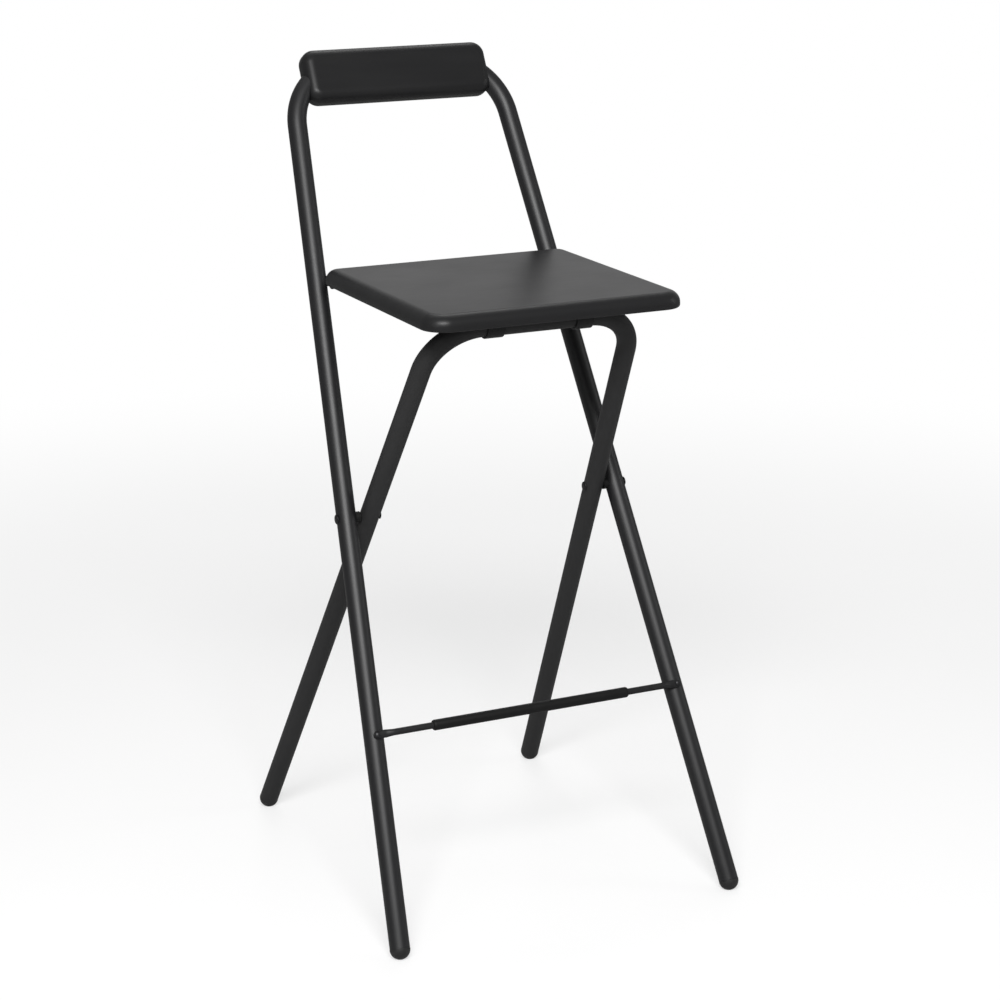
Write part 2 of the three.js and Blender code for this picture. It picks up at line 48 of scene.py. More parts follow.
TUBE_RADIUS = 0.012
BORE_RADIUS = 0.0105
TUBE_SIDES = 48
GAP = 0.0003
CUT_REACH = 0.02
LONG = {"half_width": 0.2216, "splay": radians(4.37), "length": 1.092, "bend": 0.082,
        "tilt": radians(27.5), "foot_y": -0.2580919}
SHORT = {"half_width": 0.194, "splay": radians(4.55), "length": 0.823, "bend": 0.065,
         "tilt": radians(-29.6), "foot_y": 0.2471081}
FOOT_CENTRE = 0.0111
CROSS_HEIGHT = (SHORT["foot_y"] - LONG["foot_y"]) / (tan(LONG["tilt"]) - tan(SHORT["tilt"]))
RIVET_RADIUS = 0.004
RIVET_BORE = RIVET_RADIUS + GAP


class Value:
    """A socket on which Python arithmetic adds Math nodes."""

    def __init__(self, tree, socket):
        self.tree = tree
        self.socket = socket

    def maths(self, operation, first, second):
        node = self.tree.nodes.new("ShaderNodeMath")
        node.operation = operation
        for slot, item in zip(node.inputs, (first, second)):
            if isinstance(item, Value):
                self.tree.links.new(item.socket, slot)
            else:
                slot.default_value = item
        return Value(self.tree, node.outputs[0])

    def __add__(self, other):
        return self.maths("ADD", self, other)

    def __radd__(self, other):
        return self.maths("ADD", other, self)

    def __sub__(self, other):
        return self.maths("SUBTRACT", self, other)

    def __rsub__(self, other):
        return self.maths("SUBTRACT", other, self)

    def __mul__(self, other):
        return self.maths("MULTIPLY", self, other)

    def __rmul__(self, other):
        return self.maths("MULTIPLY", other, self)


class Nodes:
    """A node tree of a material or of the world, whose nodes are made by one method."""

    def __init__(self, tree):
        self.tree = tree

    def node(self, kind, sockets=None, settings=None, out=0):
        """Adds a node: its settings first, then the values or links of its sockets."""
        node = self.tree.nodes.new("ShaderNode" + kind)
        for key, value in (settings or {}).items():
            setattr(node, key, value)
        for key, value in (sockets or {}).items():
            self.feed(node.inputs[key], value)
        return Value(self.tree, node.outputs[out])

    def feed(self, slot, value):
        if isinstance(value, Value):
            self.tree.links.new(value.socket, slot)
        else:
            slot.default_value = value

    def ramp(self, value, low, high):
        """0 below one level and 1 above another, smooth between them."""
        return self.node("MapRange", {"Value": value, "From Min": low, "From Max": high},
                         {"interpolation_type": "SMOOTHSTEP"})

    def blend(self, share, one, other):
        """A colour between two others, by a share from 0 to 1."""
        return self.node("Mix", {0: share, 6: one, 7: other}, {"data_type": "RGBA"}, out=2)

    def seen_directly(self, share):
        """1 for rays of the camera and rays through glass, and a share of that for reflections."""
        direct, through, glossy = (self.node("LightPath", out=f"Is {kind} Ray")
                                   for kind in ("Camera", "Transmission", "Glossy"))
        return direct + through + share * glossy


class Finish(Nodes):
    """A material with its constants set on the shader."""

    def __init__(self, name, constants):
        self.material = bpy.data.materials.new(name)
        self.material.use_nodes = True
        super().__init__(self.material.node_tree)
        self.shader = self.tree.nodes["Principled BSDF"]
        for socket, value in constants.items():
            self.shader.inputs[socket].default_value = value

    def place(self, scale=(1, 1, 1)):
        """Object coordinates, stretched along each axis."""
        return self.node("Mapping", {"Vector": self.node("TexCoord", out="Object"), "Scale": scale})

    def noise(self, size, detail=2.0, stretch=(1, 1, 1)):
        """Soft noise whose features are about the given size in metres."""
        return self.node("TexNoise", {"Vector": self.place(stretch), "Scale": 1 / size, "Detail": detail})

    def colour(self, share, dark, light):
        self.feed(self.shader.inputs["Base Color"], self.blend(share, (*dark, 1), (*light, 1)))

    def roughness(self, value):
        self.feed(self.shader.inputs["Roughness"], value)

    def bump(self, height, depth, strength):
        self.feed(self.shader.inputs["Normal"],
                  self.node("Bump", {"Height": height, "Distance": depth, "Strength": strength}))


def gloss_black_coat():
    """Black powder coat: faint orange peel, and a sheen that varies a little over the surface."""
    coat = Finish("gloss_black_coat", {"IOR": 1.5, "Specular IOR Level": 0.46})
    cloudy = coat.noise(0.06)
    coat.colour(cloudy, (0.007, 0.007, 0.0078), (0.010, 0.010, 0.011))
    coat.roughness(cloudy * 0.06 + 0.42)
    peel = coat.noise(0.0022, 1.0)
    coat.bump(peel, 0.00004, 0.5)
    return coat.material


def outward(mesh):
    """Merges coincident points, which closes poles, and turns every face outwards."""
    work = bmesh.new()
    work.from_mesh(mesh)
    bmesh.ops.remove_doubles(work, verts=work.verts, dist=1e-6)
    bmesh.ops.recalc_face_normals(work, faces=work.faces)
    if work.calc_volume(signed=True) < 0:
        bmesh.ops.reverse_faces(work, faces=work.faces)
    work.to_mesh(mesh)
    work.free()


def skin(name, grid, closed_rows=False):
    """An object from a grid of points, rows by columns, whose columns always close on themselves."""
    rows, columns = grid.shape[:2]
    down = np.arange(rows if closed_rows else rows - 1)[:, None]
    across = np.arange(columns)[None, :]
    below = (down + 1) % rows
    beside = (across + 1) % columns
    corners = [down * columns + across, down * columns + beside,
               below * columns + beside, below * columns + across]
    faces = np.stack([np.broadcast_to(c, (len(down), columns)) for c in corners], -1).reshape(-1, 4)
    mesh = bpy.data.meshes.new(name)
    mesh.from_pydata(grid.reshape(-1, 3).tolist(), [], faces.tolist())
    outward(mesh)
    piece = bpy.data.objects.new(name, mesh)
    bpy.context.scene.collection.objects.link(piece)
    return piece


def finished(piece, body, node, material, crease=35):
    """Smooth shading with crisp creases, the material, and the piece's place in the frame."""
    piece.data.shade_smooth()
    piece.data.set_sharp_from_angle(angle=radians(crease))
    piece.data.materials.clear()
    piece.data.materials.append(material)
    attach(piece, body)
    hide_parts(node)
    return piece


def cut(piece, tools, operation="DIFFERENCE"):
    """Takes each tool's shape out of the piece, or keeps only what lies inside it."""
    for tool in tools:
        step = piece.modifiers.new("cut", "BOOLEAN")
        step.operation = operation
        step.solver = "EXACT"
        step.object = tool
        bpy.context.view_layer.update()
        result = piece.evaluated_get(bpy.context.evaluated_depsgraph_get())
        mesh = bpy.data.meshes.new_from_object(result)
        piece.modifiers.clear()
        piece.data = mesh
        mesh.name = piece.name
        bpy.data.objects.remove(tool)


def tilted(points, shape):
    """Points of a frame's own plane, leaned back or forward by its tilt and set on its foot line."""
    x, y, z = np.moveaxis(points, -1, 0)
    lean = shape["tilt"]
    return np.stack([x, y * cos(lean) + z * sin(lean) + shape["foot_y"],
                     z * cos(lean) - y * sin(lean)], -1)


def u_line(shape, start, pitch=0.012, bend_steps=30):
    """Centre line of a U frame as x, z and the angle from upright: a leg that leans inwards by the
    splay, a quarter bend whose points are its centre plus the bend radius times cosine and sine,
    the level top to the middle, and the mirror image of all three."""
    splay, bend = shape["splay"], shape["bend"]
    centre_z = shape["length"] - bend
    centre_x = shape["half_width"] - (bend + centre_z * sin(splay)) / cos(splay)
    turn = np.linspace(splay, pi / 2, bend_steps + 1)
    bend_x = -centre_x - bend * np.cos(turn)
    bend_z = centre_z + bend * np.sin(turn)
    low_x = -shape["half_width"] + start * tan(splay)
    share = np.linspace(0, 1, ceil((bend_z[0] - start) / pitch), endpoint=False)
    top_x = np.linspace(bend_x[-1], 0, ceil(-bend_x[-1] / pitch))[1:]
    x = np.concatenate([low_x + (bend_x[0] - low_x) * share, bend_x, top_x])
    z = np.concatenate([start + (bend_z[0] - start) * share, bend_z, np.full(len(top_x), bend_z[-1])])
    angle = np.concatenate([np.full(len(share), splay), turn, np.full(len(top_x), pi / 2)])
    mirror = slice(-2, None, -1)
    return (np.concatenate([x, -x[mirror]]), np.concatenate([z, z[mirror]]),
            np.concatenate([angle, pi - angle[mirror]]))


def wall(line, radius):
    """A round wall about a line: the line's point, plus the radius times the cosine of the turn
    along the normal in the frame's plane, and times its sine along Y."""
    x, z, angle = (values[:, None] for values in line)
    turn = np.linspace(0, 2 * pi, TUBE_SIDES, endpoint=False)[None, :]
    across = radius * np.cos(turn)
    return np.stack([x + across * np.cos(angle), radius * np.sin(turn) + 0 * x,
                     z - across * np.sin(angle)], -1)


def bent_tube(name, shape):
    """The outer wall and, walked back inside it, the bore: one closed skin."""
    line = u_line(shape, FOOT_CENTRE / cos(shape["tilt"]) + GAP)
    grid = np.concatenate([wall(line, TUBE_RADIUS), wall(line, BORE_RADIUS)[::-1]])
    return skin(name, tilted(grid, shape), closed_rows=True)


def turned(name, profile, origin, axis, sides=32):
    """A profile of (radius, distance) pairs turned round an axis: each point is the origin plus the
    distance along the axis, plus the radius times cosine and sine along two normals."""
    radius, along = (np.array(values)[:, None, None] for values in zip(*profile))
    axis = Vector(axis).normalized()
    first = axis.orthogonal().normalized()
    second = axis.cross(first)
    turn = np.linspace(0, 2 * pi, sides, endpoint=False)[None, :, None]
    axis, first, second = (np.array(direction) for direction in (axis, first, second))
    grid = np.array(origin) + along * axis + radius * (np.cos(turn) * first + np.sin(turn) * second)
    return skin(name, grid)


def peg(origin, axis, radius, start, end):
    """A plain round cutter from one distance along an axis to another."""
    profile = [(0, start), (radius, start), (radius, end), (0, end)]
    return turned("cutter", profile, origin, axis)


def at_cross(shape, side):
    """Where a leg's centre line passes the crossing height."""
    x = shape["half_width"] - CROSS_HEIGHT / cos(shape["tilt"]) * tan(shape["splay"])
    return (side * x, shape["foot_y"] + CROSS_HEIGHT * tan(shape["tilt"]), CROSS_HEIGHT)


def leg_axis(shape, side):
    """The direction up a leg, which leans inwards by the splay and back or forward by the tilt."""
    splay, lean = shape["splay"], shape["tilt"]
    return (-side * sin(splay), cos(splay) * sin(lean), cos(splay) * cos(lean))


def rivet_cuts(shape):
    """Cutters for the crossing rivet's holes in both legs of a frame."""
    return [peg(at_cross(shape, side), (1, 0, 0), RIVET_BORE, -CUT_REACH, CUT_REACH) for side in (-1, 1)]


GLOSS_COAT = gloss_black_coat()
long_tube = bent_tube("long_tube", LONG)
cut(long_tube, rivet_cuts(LONG))
finished(long_tube, "long_frame", "long_frame_tube", GLOSS_COAT)

# Short frame tube. The same steel tube bent into a narrower U, from the rear feet up to the front
# of the seat, whose level top is the seat's hinge. Its powder coat is duller than the long one's.


def satin_black_coat():
    """Satin powder coat: an even fine grain, with a dull sheen."""
    coat = Finish("satin_black_coat", {"IOR": 1.5, "Specular IOR Level": 0.25})
    cloudy = coat.noise(0.045)
    coat.colour(cloudy, (0.024, 0.024, 0.0245), (0.031, 0.031, 0.0315))
    coat.roughness(cloudy * 0.08 + 0.5)
    grain = coat.noise(0.0012, 2.0)
    coat.bump(grain, 0.00005, 0.6)
    return coat.material


SATIN_COAT = satin_black_coat()
short_tube = bent_tube("short_tube", SHORT)
cut(short_tube, rivet_cuts(SHORT))
finished(short_tube, "short_frame", "short_frame_tube", SATIN_COAT)

# Plug feet. Moulded black plastic domes pushed into the four tube ends by a plain shank, and flat
# where they stand on the floor.

FOOT_DOME = 0.0122
FOOT_LIP = 0.0004
LIP_HEIGHT = 0.00015
PLUG_LENGTH = 0.022
PLUG_CHAMFER = 0.0015


def black_moulding(name, dark, light, gloss):
    """Moulded black plastic with a fine spark-eroded texture and a soft sheen."""
    plastic = Finish(name, {"IOR": 1.49, "Specular IOR Level": gloss})
    fine = plastic.noise(0.0007, 3.0)
    wide = plastic.noise(0.02)
    plastic.colour(wide, (dark,) * 3, (light,) * 3)
    plastic.roughness(wide * 0.1 + fine * 0.08 + 0.42)
    plastic.bump(fine, 0.00005, 0.5)
    return plastic.material


def plug_foot(name, node, shape, side, body):
    """A quarter circle from the crown to the rim, a small lip, and the shank up inside the tube.
    What would pass below the floor is pressed flat on it."""
    centre = FOOT_CENTRE / cos(shape["tilt"])
    shank = BORE_RADIUS - GAP
    swing = np.linspace(0, pi / 2, 16)
    lip = centre + LIP_HEIGHT
    end = centre + PLUG_LENGTH
    radius = list(FOOT_DOME * np.sin(swing)) + [FOOT_DOME - FOOT_LIP, shank, shank, shank - PLUG_CHAMFER, 0]
    along = list(centre - FOOT_DOME * np.cos(swing)) + [lip, lip, end - PLUG_CHAMFER, end, end]
    foot = turned(name, list(zip(radius, along)), (side * shape["half_width"], shape["foot_y"], 0),
                  leg_axis(shape, side), sides=40)
    points = np.empty(len(foot.data.vertices) * 3)
    foot.data.vertices.foreach_get("co", points)
    points[2::3] = np.maximum(points[2::3], 0)
    foot.data.vertices.foreach_set("co", points)
    return finished(foot, body, node, FOOT_PLASTIC, crease=50)


FOOT_PLASTIC = black_moulding("foot_plastic", 0.010, 0.015, 0.5)
for side, where in ((-1, "left"), (1, "right")):
    plug_foot(f"front_plug_{where}", f"front_foot_{where}", LONG, side, "long_frame")
    plug_foot(f"rear_plug_{where}", f"rear_foot_{where}", SHORT, side, "short_frame")

# Crossing rivets and spacers. A blackened steel rivet with a domed head at each end passes through
# both tubes at each side, and a bored plastic spacer keeps the tubes apart.

HEAD_RADIUS = 0.006
HEAD_HEIGHT = 0.0015


def blackened_steel():
    """Blackened steel, oiled: dark metal with a fine brushed grain and slightly paler rubbed spots."""
    steel = Finish("blackened_steel", {"Metallic": 0.85})
    rubbed = steel.noise(0.004, 3.0)
    steel.colour(rubbed, (0.018, 0.018, 0.019), (0.05, 0.05, 0.052))
    steel.roughness(rubbed * 0.15 + 0.34)
    steel.bump(steel.noise(0.0006, 2.0), 0.00003, 0.5)
    return steel.material


def dome(radius, height, base, steps=8):
    """A quarter ellipse from the rim of its base to the crown, as profile pairs."""
    swing = np.linspace(0, pi / 2, steps + 1)
    return [(radius * cos(turn), base + height * sin(turn)) for turn in swing[:-1]] + [(0, base + height)]


def cross_rivet(where, side):
    """Both domed heads and the shank, turned as one profile about the crossing's line."""
    outer = at_cross(LONG, 1)[0] + TUBE_RADIUS + 2 * GAP
    inner = at_cross(SHORT, 1)[0] - TUBE_RADIUS - 2 * GAP
    tail = [(radius, inner - place) for radius, place in dome(HEAD_RADIUS, HEAD_HEIGHT, 0)][::-1]
    profile = tail + [(RIVET_RADIUS, inner), (RIVET_RADIUS, outer)] + dome(HEAD_RADIUS, HEAD_HEIGHT, outer)
    middle = at_cross(LONG, 1)
    rivet = turned(f"cross_pin_{where}", profile, (0, middle[1], middle[2]), (side, 0, 0), sides=40)
    return finished(rivet, "long_frame", f"crossing_rivet_{where}", STEEL)


def cross_spacer(where, side):
    """A bored sleeve with eased ends, hollowed by a saddle where it meets the long tube."""
    inner = at_cross(SHORT, 1)[0] + TUBE_RADIUS / cos(SHORT["splay"]) + 2 * GAP
    outer = at_cross(LONG, 1)[0]
    rim, ease = 0.0065, 0.0006
    profile = [(RIVET_BORE, inner), (rim - ease, inner), (rim, inner + ease), (rim, outer),
               (RIVET_BORE, outer), (RIVET_BORE, inner)]
    middle = at_cross(LONG, 1)
    sleeve = turned(f"cross_sleeve_{where}", profile, (0, middle[1], middle[2]), (side, 0, 0), sides=40)
    leg = leg_axis(LONG, side)
    cut(sleeve, [peg(at_cross(LONG, side), leg, TUBE_RADIUS + GAP, -CUT_REACH, CUT_REACH)])
    return finished(sleeve, "long_frame", f"crossing_spacer_{where}", MOULDING)


STEEL = blackened_steel()
MOULDING = black_moulding("sleeve_plastic", 0.005, 0.009, 0.2)
for side, where in ((-1, "left"), (1, "right")):
    cross_rivet(where, side)
    cross_spacer(where, side)

# Footrest. An 8 mm steel rod lies across the front of the long tubes. Its ends are pressed flat and
# rounded, a rivet holds each to its tube, and a thicker smooth sleeve covers the middle.

ROD_ALONG = 0.2605
ROD_RADIUS = 0.004
FLAT_HALF = 0.0016
FLAT_HALF_WIDTH = 0.0048
FLAT_LENGTH = 0.014
TAPER = 0.012
RIVET_X = LONG["half_width"] - ROD_ALONG * tan(LONG["splay"])
ROD_Y = -(TUBE_RADIUS + GAP + FLAT_HALF)


def footrest_rod():
    """Rings along X, each an ellipse: its two half sizes go smoothly from the round rod to the flat
    end, and shrink at the tip as the cosine of a quarter turn."""
    tip = FLAT_HALF_WIDTH
    round_x = RIVET_X + tip - FLAT_LENGTH - TAPER
    share = np.linspace(0, 1, 18)
    blend = share * share * (3 - 2 * share)
    turn = np.linspace(0, pi / 2, 14)[1:]
    x = np.concatenate([[0], round_x + TAPER * share, RIVET_X + tip * np.sin(turn)])
    high = np.concatenate([[ROD_RADIUS], ROD_RADIUS + (tip - ROD_RADIUS) * blend, tip * np.cos(turn)])
    thick = np.concatenate([[ROD_RADIUS], ROD_RADIUS + (FLAT_HALF - ROD_RADIUS) * blend,
                            FLAT_HALF * np.minimum(1, 3 * np.cos(turn))])
    mirror = slice(None, 0, -1)
    x = np.concatenate([-x[mirror], x])[:, None]
    high = np.concatenate([high[mirror], high])[:, None]
    thick = np.concatenate([thick[mirror], thick])[:, None]
    angle = np.linspace(0, 2 * pi, 36, endpoint=False)[None, :]
    squareness = 0.9
    squared = np.sign(np.sin(angle)) * np.abs(np.sin(angle)) ** squareness
    grid = np.stack([x + 0 * angle, ROD_Y + thick * np.cos(angle), ROD_ALONG + high * squared], -1)
    rod = skin("rest_rod", tilted(grid, LONG))
    return finished(rod, "long_frame", "footrest_rod", ROD_COAT, crease=60)


def rod_coat():
    """Thin black paint on the rod and straps, a little rubbed."""
    paint = Finish("rod_coat", {"IOR": 1.5, "Specular IOR Level": 0.2})
    rubbed = paint.noise(0.006, 3.0)
    paint.colour(rubbed, (0.010, 0.010, 0.0105), (0.021, 0.021, 0.022))
    paint.roughness(rubbed * 0.12 + 0.37)
    paint.bump(paint.noise(0.0015, 1.0), 0.00004, 0.5)
    return paint.material


def footrest_sleeve():
    """A sleeve whose ends are quarter circles, bored for the rod."""
    rim, ease, end, bore = 0.0065, 0.003, 0.131, ROD_RADIUS + GAP
    turn = np.linspace(0, pi / 2, 8)
    low = [(rim - ease + ease * sin(t), -end + ease - ease * cos(t)) for t in turn]
    profile = [(bore, -end)] + low + [(radius, -place) for radius, place in low[::-1]]
    profile += [(bore, end), (bore, -end)]
    origin = tilted(np.array([0, ROD_Y, ROD_ALONG]), LONG)
    sleeve = turned("rest_sleeve", profile, origin, (1, 0, 0), sides=40)
    return finished(sleeve, "long_frame", "footrest_sleeve", MOULDING)


def footrest_rivet(where, side):
    """A domed head on the front of the flat end, and its shank into the tube."""
    shank, length, head, height = 0.002, 0.006, 0.0037, 0.0018
    profile = [(0, -length), (shank, -length), (shank, 0)] + dome(head, height, 0)
    origin = tilted(np.array([side * RIVET_X, ROD_Y - FLAT_HALF - GAP, ROD_ALONG]), LONG)
    out = (0, -cos(LONG["tilt"]), sin(LONG["tilt"]))
    rivet = turned(f"rest_rivet_{where}", profile, origin, out)
    return finished(rivet, "long_frame", f"footrest_rivet_{where}", STEEL)


ROD_COAT = rod_coat()
footrest_rod()
footrest_sleeve()
for side, where in ((-1, "left"), (1, "right")):
    footrest_rivet(where, side)

# Seat board. A 19 mm layered wood board, its upper edge rounded wide and its lower edge only eased,
# sprayed in satin black lacquer through which the grain shows faintly.

SEAT_WIDTH = 0.328
SEAT_THICKNESS = 0.019
SEAT_UPPER_EDGE = 0.014
SEAT_LOWER_EDGE = 0.0025
SEAT_CORNERS = (0.029, 0.018, 0.018, 0.029)
SEAT_OVERHANG = 0.0661
REAR_CLEARANCE = 0.0256
REST_DROP = 0.0029
HINGE_Y = SHORT["foot_y"] + SHORT["length"] * sin(SHORT["tilt"])
HINGE_Z = SHORT["length"] * cos(SHORT["tilt"])
SEAT_BOTTOM = HINGE_Z + TUBE_RADIUS + GAP
UNDER_SEAT = SEAT_BOTTOM - GAP
REST_Z = UNDER_SEAT - REST_DROP
SEAT_REAR = LONG["foot_y"] + REST_Z * tan(LONG["tilt"]) - REAR_CLEARANCE
SEAT_DEPTH = SEAT_REAR - (HINGE_Y - SEAT_OVERHANG)


def board_grid(width, depth, thickness, upper, lower, corners, steps=14):
    """A board about the origin. Its outline is four quarter circles, and each row of the grid is that
    outline drawn in by an edge radius times one minus a cosine, at that radius times a sine from
    where the edge begins. A guard row just inside keeps each flat face flat."""
    signs = ((1, -1), (1, 1), (-1, 1), (-1, -1))
    swing = np.linspace(0, pi / 2, steps + 1)
    spots = []
    for quarter, ((way_x, way_y), radius) in enumerate(zip(signs, corners)):
        turn = swing + (quarter - 1) * pi / 2
        centre = np.array([way_x * (width / 2 - radius), way_y * (depth / 2 - radius)])
        normal = np.stack([np.cos(turn), np.sin(turn)], -1)
        spots.append(np.concatenate([centre + radius * normal, normal], -1))
    outline = np.concatenate(spots)
    place, normal = outline[None, :, :2], outline[None, :, 2:]
    turn = np.linspace(pi / 2, 0, 13)
    half = thickness / 2
    guard = 0.0006
    inset, height = [], []
    for edge, way in ((upper, 1), (lower, -1)):
        rows_in = np.concatenate([[edge + guard], edge * (1 - np.cos(turn))])
        rows_up = way * np.concatenate([[half], half - edge + edge * np.sin(turn)])
        inset.append(rows_in[::way])
        height.append(rows_up[::way])
    inset, height = np.concatenate(inset)[:, None, None], np.concatenate(height)[:, None, None]
    height = np.broadcast_to(height, (len(height), len(outline), 1))
    rows = np.concatenate([place - inset * normal, height], -1)
    crown = np.broadcast_to([0.0, 0.0, thickness / 2], (1, len(outline), 3))
    return np.concatenate([crown, rows, crown * [1, 1, -1]])


def black_lacquer():
    """Satin black lacquer over wood: long faint pores along the grain, a soft uneven sheen, and
    slightly thinner lacquer here and there."""
    lacquer = Finish("black_lacquer", {"IOR": 1.5, "Specular IOR Level": 0.22})
    pores = lacquer.noise(0.0012, 3.0, (0.06, 1, 1))
    bands = lacquer.noise(0.018, 2.0, (0.15, 1, 1))
    wide = lacquer.noise(0.09)
    lacquer.colour(bands, (0.010, 0.010, 0.0105), (0.016, 0.016, 0.0165))
    lacquer.roughness(wide * 0.08 + pores * 0.06 + 0.3)
    lacquer.bump(pores * 0.7 + bands * 0.6, 0.00006, 0.45)
    return lacquer.material


REST_REACH = 0.0216
REST_THICK = 0.003
FLANGE_WIDTH = 0.014
FLANGE_REACH = 0.022
PIN_INSET = 0.008
REST_X = LONG["half_width"] - REST_Z / cos(LONG["tilt"]) * tan(LONG["splay"]) - REST_REACH
PIN_X = REST_X + REST_THICK - FLANGE_WIDTH / 2
PIN_Y = SEAT_REAR - FLANGE_REACH + PIN_INSET
PIN_RADIUS = 0.003
PIN_HEIGHT = 0.008
PIN_PLAY = 0.0006
PIN_LEAN = radians(28)


def pin_socket(side, lean):
    """A round cutter for the socket of a rest's pin, upright or leaning the way the pin leaves."""
    depth = PIN_HEIGHT + PIN_PLAY
    axis = (0, sin(lean), cos(lean))
    mouth = (side * PIN_X, PIN_Y, UNDER_SEAT + depth)
    return peg(mouth, axis, PIN_RADIUS + PIN_PLAY, -2 * depth, 0)


LACQUER = black_lacquer()
seat_grid = board_grid(SEAT_WIDTH, SEAT_DEPTH, SEAT_THICKNESS, SEAT_UPPER_EDGE, SEAT_LOWER_EDGE,
                       SEAT_CORNERS)
seat_grid = seat_grid + [0, SEAT_REAR - SEAT_DEPTH / 2, SEAT_BOTTOM + SEAT_THICKNESS / 2]
seat = skin("seat_panel", seat_grid)
cut(seat, [pin_socket(side, lean) for side in (-1, 1) for lean in (0, PIN_LEAN)])
finished(seat, "seat", "seat_board", LACQUER)

# Seat straps. Two bands of 2 mm steel, bent round the short frame's level top, are screwed up into
# the seat board by a flange on each side, and are the hinge that the seat swings on.

STRAP_X = 0.057
STRAP_HALF = 0.011
STRAP_THICK = 0.002
STRAP_FLANGE = 0.016
STRAP_REACH = TUBE_RADIUS + GAP + STRAP_THICK + STRAP_FLANGE / 2
SCREW_HEAD = 0.004
SCREW_HEIGHT = 0.0024
SCREW_SHANK = 0.002
SEAT_SCREW_LENGTH = 0.013
HEAD_SHARES = ((1, 0), (1, 0.375), (0.925, 2 / 3), (0.8, 0.875), (0.6, 1), (0, 1))
RECESS_REACH = 0.0021
RECESS_DEPTH = 0.0013


def capped(grid):
    """A stack of rings, with the middle of the first and of the last ring added as rows that close it."""
    middles = grid.mean(axis=1, keepdims=True)[[0, -1]] * np.ones((1, grid.shape[1], 1))
    return np.concatenate([middles[:1], grid, middles[1:]])


def strap(where, side):
    """A flat band with eased edges carried along a line: a flange, a small bend, down the side, half
    a circle under the tube, and the mirror image."""
    middle = TUBE_RADIUS + GAP + STRAP_THICK / 2
    top = UNDER_SEAT - STRAP_THICK / 2
    ease = 0.0014
    reach = TUBE_RADIUS + GAP + STRAP_THICK + STRAP_FLANGE
    corner = np.linspace(0, pi / 2, 7)
    under = np.linspace(0, pi / 2, 16)
    y = np.concatenate([[-reach], -middle - ease + ease * np.sin(corner), -middle * np.cos(under)])
    z = np.concatenate([[top], top - ease + ease * np.cos(corner), HINGE_Z - middle * np.sin(under)])
    mirror = slice(-2, None, -1)
    y, z = np.concatenate([y, -y[mirror]]), np.concatenate([z, z[mirror]])
    step_y, step_z = np.gradient(y), np.gradient(z)
    size = np.hypot(step_y, step_z)
    normal_y, normal_z = (step_z / size)[:, None], (-step_y / size)[:, None]
    half, thick, soft = STRAP_HALF, STRAP_THICK / 2, 0.0004
    quarter = np.linspace(0, pi / 2, 4)
    across, up = [], []
    for way_x, way_z, begin in ((1, 1, 0), (-1, 1, 1), (-1, -1, 2), (1, -1, 3)):
        turn = quarter + begin * pi / 2
        across.append(way_x * (half - soft) + soft * np.cos(turn))
        up.append(way_z * (thick - soft) + soft * np.sin(turn))
    across, up = np.concatenate(across)[None, :], np.concatenate(up)[None, :]
    grid = np.stack([side * STRAP_X + across + 0 * normal_y, HINGE_Y + y[:, None] + up * normal_y,
                     z[:, None] + up * normal_z], -1)
    band = skin(f"strap_{where}", capped(grid))
    return finished(band, "seat", f"seat_strap_{where}", ROD_COAT)


def recess(top, axis):
    """A cross-shaped cutter for a screw's driver: two flat blades that narrow with depth."""
    proud, bottom_share, blade_share = 0.0004, 0.45, 0.2
    axis = Vector(axis).normalized()
    first = axis.orthogonal().normalized()
    second = axis.cross(first)
    blades = []
    for along, across in ((first, second), (second, first)):
        rows = []
        for level, share in ((proud, 1), (-RECESS_DEPTH, bottom_share)):
            middle = top + axis * level
            length = along * RECESS_REACH * share
            width = across * RECESS_REACH * blade_share * share
            rows.append([middle + length + width, middle - length + width,
                         middle - length - width, middle + length - width])
        blades.append(skin("cutter", capped(np.array(rows))))
    return blades


def screw(name, node, body, seat_at, axis, length):
    """A pan-head screw with a driver recess: a flattened dome over a straight shank with a point.
    The head's outline is given as shares of its radius and height."""
    head = [(SCREW_HEAD * out, SCREW_HEIGHT * up) for out, up in HEAD_SHARES]
    profile = [(0, -length), (SCREW_SHANK, -length + SCREW_SHANK), (SCREW_SHANK, 0)] + head
    made = turned(name, profile, seat_at, axis)
    top = Vector(seat_at) + Vector(axis).normalized() * SCREW_HEIGHT
    cut(made, recess(top, axis))
    return finished(made, body, node, STEEL)


for side, where in ((-1, "left"), (1, "right")):
    strap(where, side)
    for index, way in enumerate((-1, 1), 1):
        spot = (side * STRAP_X, HINGE_Y + way * STRAP_REACH, UNDER_SEAT - STRAP_THICK - GAP)
        screw(f"strap_fixing_{where}_{index}", f"strap_screw_{where}_{index}", "seat", spot,
              (0, 0, -1), SEAT_SCREW_LENGTH + STRAP_THICK - GAP)

# Seat rests. Small pressed-steel shelves under the rear of the seat, welded to the insides of the
# long tubes by a round boss and coated with them. A pin on each enters a socket of the board.


def seat_rest(where, side):
    """The solid's own form, its doubles merged and its pressed edges eased."""
    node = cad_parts[f"seat_rest_{where}"]
    mesh = node.data.copy()
    outward(mesh)
    shelf = bpy.data.objects.new(f"rest_shelf_{where}", mesh)
    bpy.context.scene.collection.objects.link(shelf)
    eased = shelf.modifiers.new("eased edges", "BEVEL")
    eased.width = 0.0004
    eased.segments = 2
    eased.limit_method = "ANGLE"
    eased.angle_limit = radians(40)
    return finished(shelf, "long_frame", f"seat_rest_{where}", GLOSS_COAT)


for side, where in ((-1, "left"), (1, "right")):
    seat_rest(where, side)

# Backrest. Two wooden boards, grooved to clamp the level top and the bends of the long tube between
# them, rounded as one block and lacquered black. Four screws from behind draw them together.

